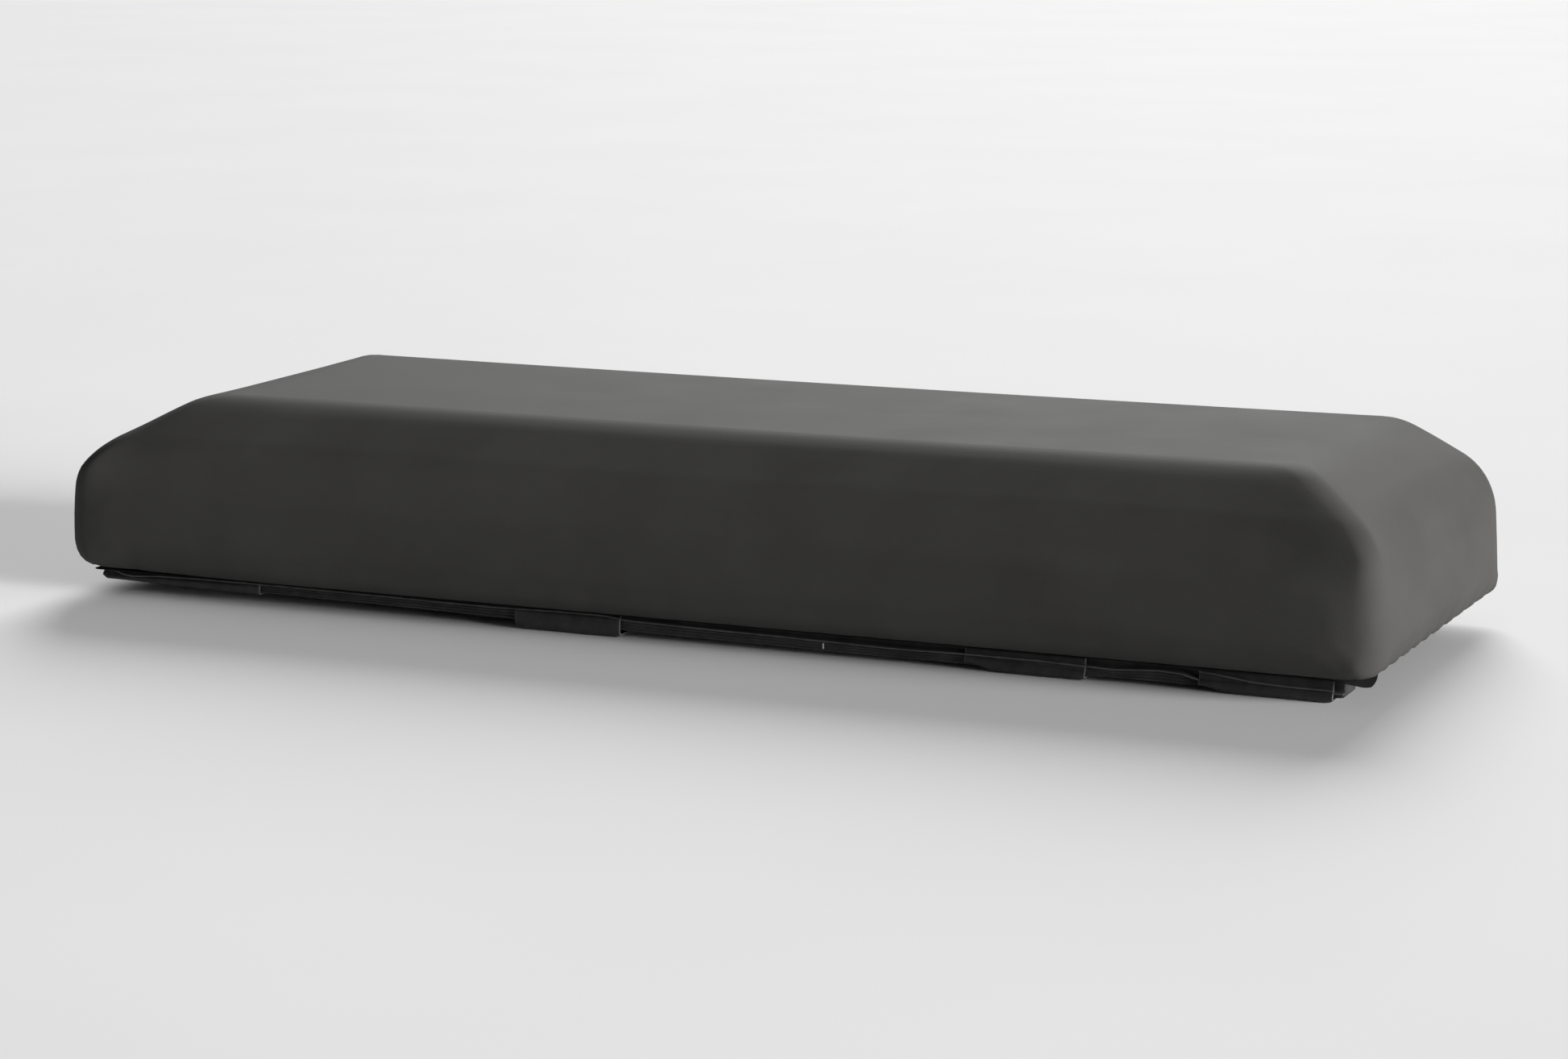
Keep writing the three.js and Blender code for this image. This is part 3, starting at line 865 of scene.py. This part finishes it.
def stitches(line, outward):
    """A row of separate stitches along a line of points, each sunk at its ends."""
    line = np.asarray(line, float)
    length = np.linalg.norm(np.diff(line, axis=0), axis=1).sum()
    count = max(2, int(length / STITCH_PITCH))
    places = resampled(line, 3 * count)
    outward = np.asarray(outward, float)
    points, faces = [], []
    for k in range(count):
        middle = places[3 * k + 1]
        ahead = places[3 * k + 2] - places[3 * k]
        ahead = ahead / np.linalg.norm(ahead)
        across = np.cross(ahead, outward)
        start = len(points)
        for along, size, sunk in ((-1, 0.25, 0.9), (-0.6, 0.95, 0.15), (0.6, 0.95, 0.15), (1, 0.25, 0.9)):
            centre = middle + ahead * along * STITCH_LENGTH / 2 - outward * sunk * STITCH_RADIUS
            for turn in range(6):
                angle = turn * math.pi / 3
                spread = across * math.cos(angle) + outward * math.sin(angle)
                points.append(centre + spread * STITCH_RADIUS * size)
        for part in range(3):
            for turn in range(6):
                a = start + 6 * part + turn
                b = start + 6 * part + (turn + 1) % 6
                faces.append([a, b, b + 6, a + 6])
        faces.append([start + i for i in range(5, -1, -1)])
        faces.append([start + 18 + i for i in range(6)])
    return points, faces


def placed(side, x, inward, up):
    """A point given by its distance in from the flap's seam, on the front or the rear side."""
    return (x, side * (SEAM_FACE - inward), up)


def placed_section(side, x, section):
    return np.array([placed(side, x, inward, up) for inward, up in section])


# -------- folded strips


FRONT_FOLD = (  # (x, height) along the front strip's upper fold, in metres
    (-0.905, 0.0310), (-0.890, 0.0310), (-0.876, 0.0262), (-0.862, 0.0246), (-0.822, 0.0272),
    (-0.753, 0.0286), (-0.620, 0.0290), (-0.460, 0.0276), (-0.280, 0.0268), (-0.200, 0.0284),
    (-0.120, 0.0284), (-0.094, 0.0250), (-0.003, 0.0232), (0.288, 0.0196), (0.391, 0.0206),
    (0.490, 0.0210), (0.590, 0.0184), (0.655, 0.0222), (0.684, 0.0202), (0.708, 0.0140), (0.900, 0.0130),
)


def hem_height(side, x):
    """Height of the strip's upper fold, whose rolled bead shows as a lighter line: painted highlight and
    wear.
    """
    if side > 0:
        return 25 * MM + 0.5 * MM * wander(x, 3, 0.12)
    return np.interp(x, *zip(*FRONT_FOLD)) + 0.25 * MM * wander(x, 3, 0.1)


def strip_floor(side, x):
    """Height of the strip's lower edge. At the front it hangs lower towards the right."""
    ripple = 0.45 * MM * wander(x, 7, 0.09)
    if side > 0:
        return strip_low.z + 0.5 * MM + ripple
    falling = smooth_step(x, -0.95, 0.35)
    return (18.5 - 11.5 * falling) * MM + ripple


LAYERS = 3
FOLD_POINTS = 5
LAYER_BULGE = 1.3 * MM
LAYER_SPREAD = 0.9 * MM  # how far the strip's layers stand in or out
BEAD_RADII = (0.9 * MM, 1.2 * MM)
STRIP_STEP = 6 * MM
STRIP_ENDS = np.array([0.0, 0.8, 2.5, 5.0]) * MM  # sections close to each end, where it is rounded


def strip_section(side, x):
    """Half the section is the outer face from the top down, and the other half the inner face back up."""
    fold, floor = hem_height(side, x), strip_floor(side, x)
    start = SEAM_FACE - STRIP_FACE
    outer = [
        (start + STRIP_RECESS + 6 * MM, STRIP_TOP),
        (start + STRIP_RECESS, STRIP_TOP),
        (start + STRIP_RECESS, (STRIP_TOP + fold) / 2 + 1.5 * MM),
        (start + 0.7 * STRIP_RECESS, fold + 2.0 * MM),
        (start + 1.5 * MM, fold + 1.7 * MM),
        (start - 0.2 * MM, fold + 1.2 * MM),
        (start - 0.9 * MM, fold),
        (start - 0.5 * MM, fold - 1.2 * MM),
        (start + 0.9 * MM, fold - 1.7 * MM),
    ]
    top = fold - 1.9 * MM
    thick = (top - floor) / LAYERS
    for layer in range(LAYERS):
        out = start + (0.5 + 0.5 * wander(x, 11 + 3 * layer, 0.16)) * LAYER_SPREAD
        crease = out + LAYER_BULGE
        upper = top - layer * thick
        for k in range(FOLD_POINTS + 1):
            share = k / FOLD_POINTS
            bulge = math.sin(math.pi * share) ** 0.6
            outer.append((crease - (crease - out) * bulge, upper - thick * share))
    inner = []
    for k in range(len(outer)):
        share = k / (len(outer) - 1)
        phase = (share * (LAYERS + 1)) % 1.0
        bulge = LAYER_BULGE * math.sin(math.pi * phase) ** 0.6
        inner.append((start + STRIP_DEPTH - 1.6 * MM + bulge, STRIP_TOP - (STRIP_TOP - floor) * share))
    return outer + inner[::-1]


def bead_section(height):
    """A rolled edge, just outside the plane of the seams."""
    turns = np.linspace(0, 2 * math.pi, 8, endpoint=False)
    inward = BEAD_RADII[0] * np.cos(turns) - 0.1 * MM
    return np.stack([inward, height + BEAD_RADII[1] * np.sin(turns)], axis=1)


def build_strip(side, name, low, high):
    parts = Parts()
    count = round((high.x - low.x) / STRIP_STEP) + 1
    middle = np.linspace(low.x, high.x, count)[1:-1]
    stations = np.unique(np.concatenate([middle, low.x + STRIP_ENDS, high.x - STRIP_ENDS]))
    sections = []
    for x in stations:
        to_end = min(x - low.x, high.x - x)
        tuck = (1 - math.sqrt(1 - (1 - min(to_end / (6 * MM), 1.0)) ** 2)) * 2.2 * MM
        section = np.array(strip_section(side, x))
        middle = section.mean(axis=0)
        section = middle + (section - middle) * (1 - tuck / np.array([30 * MM, 12 * MM]))
        sections.append(placed_section(side, x, section))
    parts.add(*loft(sections))
    face = SEAM_FACE - STRIP_FACE - 0.6 * MM
    beads = []
    for x in stations:
        bead = bead_section(hem_height(side, x)) + np.array([STRIP_BEAD_INWARD, 0])
        beads.append(placed_section(side, x, bead))
    # The rolled bead takes the paler fold material: a painted highlight, with some rubbed wear.
    parts.add(*loft(beads), number=2)
    inside = np.arange(low.x + 8 * MM, high.x - 8 * MM, 12 * MM)
    line = [placed(side, x, face, hem_height(side, x) - 0.8 * MM) for x in inside]
    parts.add(*stitches(line, (0, side, 0)), number=1)
    piece = parts.build(f"{name}_folded", [STRIP_CLOTH, THREAD, FOLD_WEAR_AND_HIGHLIGHT])
    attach(piece, "mattress")
    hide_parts(name)


def build_tab():
    """The plain end of a small white tab, caught in the front strip's folds."""
    width, drop, thickness = 1.6 * MM, 7.5 * MM, 0.5 * MM
    top = hem_height(-1, TAB_PLACE) - 2 * MM
    sections = []
    for k in range(7):
        up = top - drop * k / 6
        out = 0.7 * MM * math.sin(math.pi * k / 6) + 1.4 * MM
        corners = []
        for across, deep in ((-1, 0), (-0.8, 1), (0.8, 1), (1, 0), (0.8, -1), (-0.8, -1)):
            corners.append(placed(-1, TAB_PLACE + across * width / 2, -out + deep * thickness / 2, up))
        sections.append(np.array(corners))
    parts = Parts()
    parts.add(*loft(sections))
    piece = parts.build("white_tab_end", [TAB_WEAVE])
    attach(piece, "mattress")


# -------- base cloth


def build_base_cloth():
    """Lining laid flat under the pad, a little slack, with its front right corner hanging."""
    steps = ring_steps(LINING_GRID)
    level = cloth_low.z + 0.95 * MM
    edge = rounded_ring(cloth_high.x, cloth_low.y, cloth_high.y, 9 * MM, 25 * MM, level, steps)
    inside, faces = filled(edge, steps)
    points = np.concatenate([edge, inside])
    x, y = points[:, 0], points[:, 1]
    slack = wander(x + 0.3 * y, 3, 0.16) * wander(y - 0.2 * x, 5, 0.11)
    points[:, 2] -= LINING_SLACK * (1 + slack)
    corner = np.hypot(x - cloth_high.x, y - cloth_low.y)
    hanging = 1 - smooth_step(corner, 8 * MM, 55 * MM)
    points[:, 2] -= LINING_DROP * hanging
    points[:, 2] -= LINING_SAG * smooth_step(x, 0.895, 0.925) * smooth_step(y, -0.1, 0.1)
    tucked = np.where(x > 0, smooth_step(y, -0.27, -0.2), 1.0) * smooth_step(np.abs(x), 0.84, 0.93)
    points[:, 0] -= np.sign(x) * LINING_TUCK * tucked
    piece = new_object("base_lining", points, faces)
    subdivide = piece.modifiers.new("finer", "SUBSURF")
    subdivide.levels = subdivide.render_levels = 1
    apply_modifiers(piece)
    solidify(piece, LINING_THICKNESS)
    face_outwards(piece)
    finish_piece(piece, BASE_SPUN, "mattress", "base_cloth", "base_cloth")


def build_lining_stitches():
    steps = ring_steps(20 * MM)
    right = cloth_high.x - LINING_TUCK - LINING_SEAM
    front, rear = cloth_low.y + LINING_SEAM, cloth_high.y - LINING_SEAM
    line = rounded_ring(right, front, rear, 20 * MM, 20 * MM, cloth_low.z + 0.1 * MM, steps)
    parts = Parts()
    parts.add(*stitches(np.concatenate([line, line[:1]]), (0, 0, -1)))
    piece = parts.build("lining_stitching", [THREAD])
    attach(piece, "mattress")


# -------- flaps and their tapes

RISER = 68.4 * MM  # how far behind its seam a flap turns up again
TAIL_END = 104.4 * MM
PATH_POINTS = 90
ROLL_RADIUS = 4.5 * MM  # of the rounded lower front of a flap that hangs open
SWELL = 1.5 * MM  # how far its face bulges
FLAT_RADIUS, FLAT_SWELL = 1.6 * MM, 0.3 * MM  # the same for the flap that is folded flat
RISE = {  # how much higher the left end of a flap hangs, and over what length
    "front_flap_3": (8.5 * MM, 50 * MM),
    "front_flap_4": (7.0 * MM, 45 * MM),
}
PLAIN_RISE = (3.5 * MM, 7 * MM)
FLAP_BEADS = {  # (x, height) of the rolled edge above a flap, where it leaves the strip's fold
    "front_flap_4": ((0.706, 0.0262), (0.728, 0.0242), (0.774, 0.0185), (0.819, 0.0165), (0.880, 0.0164)),
}
FACE_TOPS = {  # height of the top of a flap's full face, at its left and right ends
    "front_flap_1": (0.0225, 0.0265),
    "front_flap_2": (0.0262, 0.0262),
    "front_flap_3": (0.0182, 0.0122),
    "front_flap_4": (0.0152, 0.0130),
}
REAR_FACE_TOP = 0.0235


def bead_height(name, side, x):
    if name in FLAP_BEADS:
        return np.interp(x, *zip(*FLAP_BEADS[name]))
    return hem_height(side, x)


def flap_floor(name, x, start, end):
    """Height of the underside of a flap's lower run, at a place along the length."""
    left, right = x - start, end - x
    if name == "front_flap_1":
        return (18.0 - 4.0 * smooth_step(left, 0.0, 0.25) + 4.0 * (1 - smooth_step(left, 0.0, 0.007))) * MM
    floor = 0.15 * MM + 0.3 * MM * (1 + wander(x, 5, 0.07))
    rise, reach = RISE.get(name, PLAIN_RISE)
    floor += rise * (1 - smooth_step(left, 0.0, reach))
    return floor + 2.5 * MM * (1 - smooth_step(right, 0.0, 0.006))


def tail_top(name):
    """Height of the upper face of a flap's tail, under its hook tape."""
    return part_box(f"{name}_hook_tape")[0].z - TAPE_GAP


def flap_path(name, x, start, end):
    """Middle of the band from its sewn edge, down, under, up behind and along its tail."""
    half = FLAP_THICKNESS / 2
    folded = name == "front_flap_1"
    low = flap_floor(name, x, start, end) + half
    tops = FACE_TOPS.get(name, (REAR_FACE_TOP, REAR_FACE_TOP))
    top = float(np.interp(x, (start, end), tops))
    tail = tail_top(name) - half
    bulge = 0.4 * MM * wander(x, 9, 0.06)
    swell = FLAT_SWELL if folded else SWELL
    sewn = (4.5 * MM, SEAM_Z)
    neck = (1.7 * MM, max(top + 1.2 * MM, low + 4 * MM))
    shoulder = (-0.3 * MM, max(top - 1.0 * MM, low + 2 * MM))
    belly = (-0.3 * MM - swell - bulge, 0.55 * low + 0.45 * shoulder[1])
    front_foot = (-0.4 * MM - 0.3 * swell, low)
    back_foot = (RISER + 0.3 * bulge, low)
    back_head = (RISER, tail)
    tail_end = (TAIL_END, tail)
    bend = FLAT_RADIUS if folded else ROLL_RADIUS
    points = [
        sewn,
        *fillet(sewn, neck, shoulder, 0.8 * MM, 3),
        *fillet(neck, shoulder, belly, 0.8 * MM, 3),
        *fillet(shoulder, belly, front_foot, 3.0 * MM, 3),
        *fillet(belly, front_foot, back_foot, bend, 8),
        *fillet(front_foot, back_foot, back_head, bend if folded else 7.0 * MM, 8),
        *fillet(back_foot, back_head, tail_end, 4.0 * MM, 6),
        tail_end,
    ]
    return resampled(points, PATH_POINTS)


def band_section(path, thickness):
    """Both faces of a band around its middle line, as one closed section."""
    ahead = np.gradient(path, axis=0)
    ahead /= np.linalg.norm(ahead, axis=1, keepdims=True)
    across = np.stack([-ahead[:, 1], ahead[:, 0]], axis=1) * thickness / 2
    return np.concatenate([path + across, (path - across)[::-1]])


def flap_stations(start, end):
    edge = np.array([0.0, 0.25, 0.7, 1.5, 3.5, 6.5]) * MM
    middle = np.arange(start + 11 * MM, end - 10 * MM, 7 * MM)
    return np.concatenate([start + edge, middle, end - edge[::-1]])


def build_flap(name):
    side = -1 if name.startswith("front") else 1
    low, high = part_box(name)
    start, end = low.x, high.x
    parts = Parts()
    sections, beads = [], []
    for x in flap_stations(start, end):
        to_end = min(x - start, end - x)
        thickness = FLAP_THICKNESS * (0.45 + 0.55 * min(to_end / (0.8 * MM), 1.0) ** 0.5)
        path = flap_path(name, x, start, end)
        sections.append(placed_section(side, x, band_section(path, thickness)))
        if name != "front_flap_1" or x > start + 9 * MM:
            beads.append(placed_section(side, x, bead_section(bead_height(name, side, x))))
    # The flap's ends, its first and last spans and the bead above it take the paler fold material: painted
    # highlight and wear.
    parts.add(*loft(sections), numbers=edge_numbers(sections, 0, 2, 3))
    parts.add(*loft(beads), number=2)
    for x in (start + 3.2 * MM, end - 3.2 * MM):
        path = flap_path(name, x, start, end)
        face = path[path[:, 0] < 0]
        bottom, top = face[:, 1].min() + 3 * MM, face[:, 1].max() - 1.5 * MM
        wall = face[(face[:, 1] > bottom) & (face[:, 1] < top)]
        if len(wall) > 4:
            line = [placed(side, x, i - FLAP_THICKNESS / 2, u) for i, u in wall]
            parts.add(*stitches(line, (0, side, 0)), number=1)
    spots = np.arange(start + 7 * MM, end - 6 * MM, 6 * MM)
    for inward in (RISER + 7.0 * MM, TAIL_END - 3.5 * MM):
        line = [placed(side, x, inward, tail_top(name) - FLAP_THICKNESS) for x in spots]
        parts.add(*stitches(line, (0, 0, -1)), number=1)
    piece = parts.build(f"{name}_band", [FLAP_LEATHER, THREAD, FOLD_WEAR_AND_HIGHLIGHT])
    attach(piece, name)
    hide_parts(name)


HOOK_PITCH = 1.6 * MM
LOOP_PITCH = 1.2 * MM
LOOP_DEPTH = 0.75 * MM
LOOP_EDGE = 0.6 * MM


def slab(low, high, relief):
    """A thin slab with one flat face, at low's height. The other face's heights are the relief."""
    rows, columns = relief.shape
    x = np.linspace(low[0], high[0], columns)
    y = np.linspace(low[1], high[1], rows)
    grid_x, grid_y = np.meshgrid(x, y)
    top = np.stack([grid_x, grid_y, relief], axis=-1).reshape(-1, 3)
    back = np.stack([grid_x, grid_y, np.full_like(grid_x, low[2])], axis=-1).reshape(-1, 3)
    index = np.arange(rows * columns).reshape(rows, columns)
    quads = np.stack([index[:-1, :-1], index[:-1, 1:], index[1:, 1:], index[1:, :-1]], axis=-1)
    faces = quads.reshape(-1, 4).tolist()
    under = (quads.reshape(-1, 4)[:, ::-1] + rows * columns).tolist()
    rim = np.concatenate([index[0, :], index[1:, -1], index[-1, -2::-1], index[-2:0:-1, 0]])
    ahead = np.roll(rim, -1)
    sides = np.stack([ahead, rim, rim + rows * columns, ahead + rows * columns], axis=1)
    return np.concatenate([top, back]), faces + under + sides.tolist()


def build_tapes(name):
    """Hooks in rows on the flap's tail, and the looped pile they catch, sewn to the lining."""
    rng = np.random.default_rng(FLAP_NAMES.index(name) + 7)
    low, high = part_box(f"{name}_hook_tape")
    rows = 2 * round((high.y - low.y) / HOOK_PITCH) + 1
    columns = 2 * round((high.x - low.x) / HOOK_PITCH) + 1
    checks = (np.add.outer(np.arange(rows) % 2, np.arange(columns) % 2) == 2).astype(float)
    hooks = low.z + 0.5 * MM + checks * (high.z - low.z - 0.6 * MM) * rng.uniform(0.8, 1.0, checks.shape)
    parts = Parts()
    parts.add(*slab(low, high, hooks))
    piece = parts.build(f"{name}_hooks", [HOOK_PILE])
    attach(piece, name)
    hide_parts(f"{name}_hook_tape")
    low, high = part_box(f"{name}_loop_tape")
    rows = round((high.y - low.y) / LOOP_PITCH)
    columns = round((high.x - low.x) / LOOP_PITCH)
    pile = rng.uniform(0.0, LOOP_DEPTH, (rows, columns))
    pile[[0, -1], :] = LOOP_EDGE
    pile[:, [0, -1]] = LOOP_EDGE
    parts = Parts()
    back = (low.x, low.y, high.z)
    parts.add(*slab(back, high, low.z + 0.05 * MM + pile))
    piece = parts.build(f"{name}_loops", [LOOP_PILE])
    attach(piece, "mattress")
    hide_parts(f"{name}_loop_tape")


# -------- floor and light


def add_floor():
    size = 60.0
    corners = [(-size, -size, 0), (size, -size, 0), (size, size, 0), (-size, size, 0)]
    floor = new_object("floor", corners, [(0, 1, 2, 3)], smooth=False)
    floor.data.materials.append(studio_floor())


SUN_SOFTNESS = math.radians(30)
SUNS = (  # name, height above the floor and turn from +X towards +Y in degrees, strength
    ("back_light", 24, 104, 3.4),
    ("side_light", 8, -5, 7.6),
)
WORLD_STRENGTH = 0.1


def add_sun(name, elevation, azimuth, strength):
    """A low soft light. One lights the top and the other the right end, and the front is in shade."""
    data = bpy.data.lights.new(name, "SUN")
    data.energy = strength
    data.angle = SUN_SOFTNESS
    sun = bpy.data.objects.new(name, data)
    turn = math.radians(azimuth)
    rise = math.radians(elevation)
    level = math.cos(rise)
    towards = Vector((level * math.cos(turn), level * math.sin(turn), math.sin(rise)))
    sun.rotation_euler = towards.to_track_quat("Z", "Y").to_euler()
    bpy.context.scene.collection.objects.link(sun)


def add_world():
    world = bpy.data.worlds.new("world")
    world.use_nodes = True
    background = world.node_tree.nodes["Background"]
    background.inputs["Color"].default_value = (1, 1, 1, 1)
    background.inputs["Strength"].default_value = WORLD_STRENGTH
    bpy.context.scene.world = world
    bpy.context.scene.view_settings.view_transform = "Standard"


# -------- assembly

build_cover()
build_wadding()
build_foam("comfort_foam", (0.62, 0.56, 0.4), (0.8, 0.75, 0.58))
build_foam("core_foam", (0.55, 0.48, 0.28), (0.72, 0.66, 0.44))
build_foam("base_foam", (0.36, 0.4, 0.43), (0.54, 0.58, 0.61))
build_elastic()
build_base_cloth()
build_lining_stitches()
build_strip(-1, "front_strip", strip_low, strip_high)
build_strip(1, "rear_strip", rear_strip_low, rear_strip_high)
build_tab()
for flap in FLAP_NAMES:
    build_flap(flap)
    build_tapes(flap)
add_floor()
for sun in SUNS:
    add_sun(*sun)
add_world()
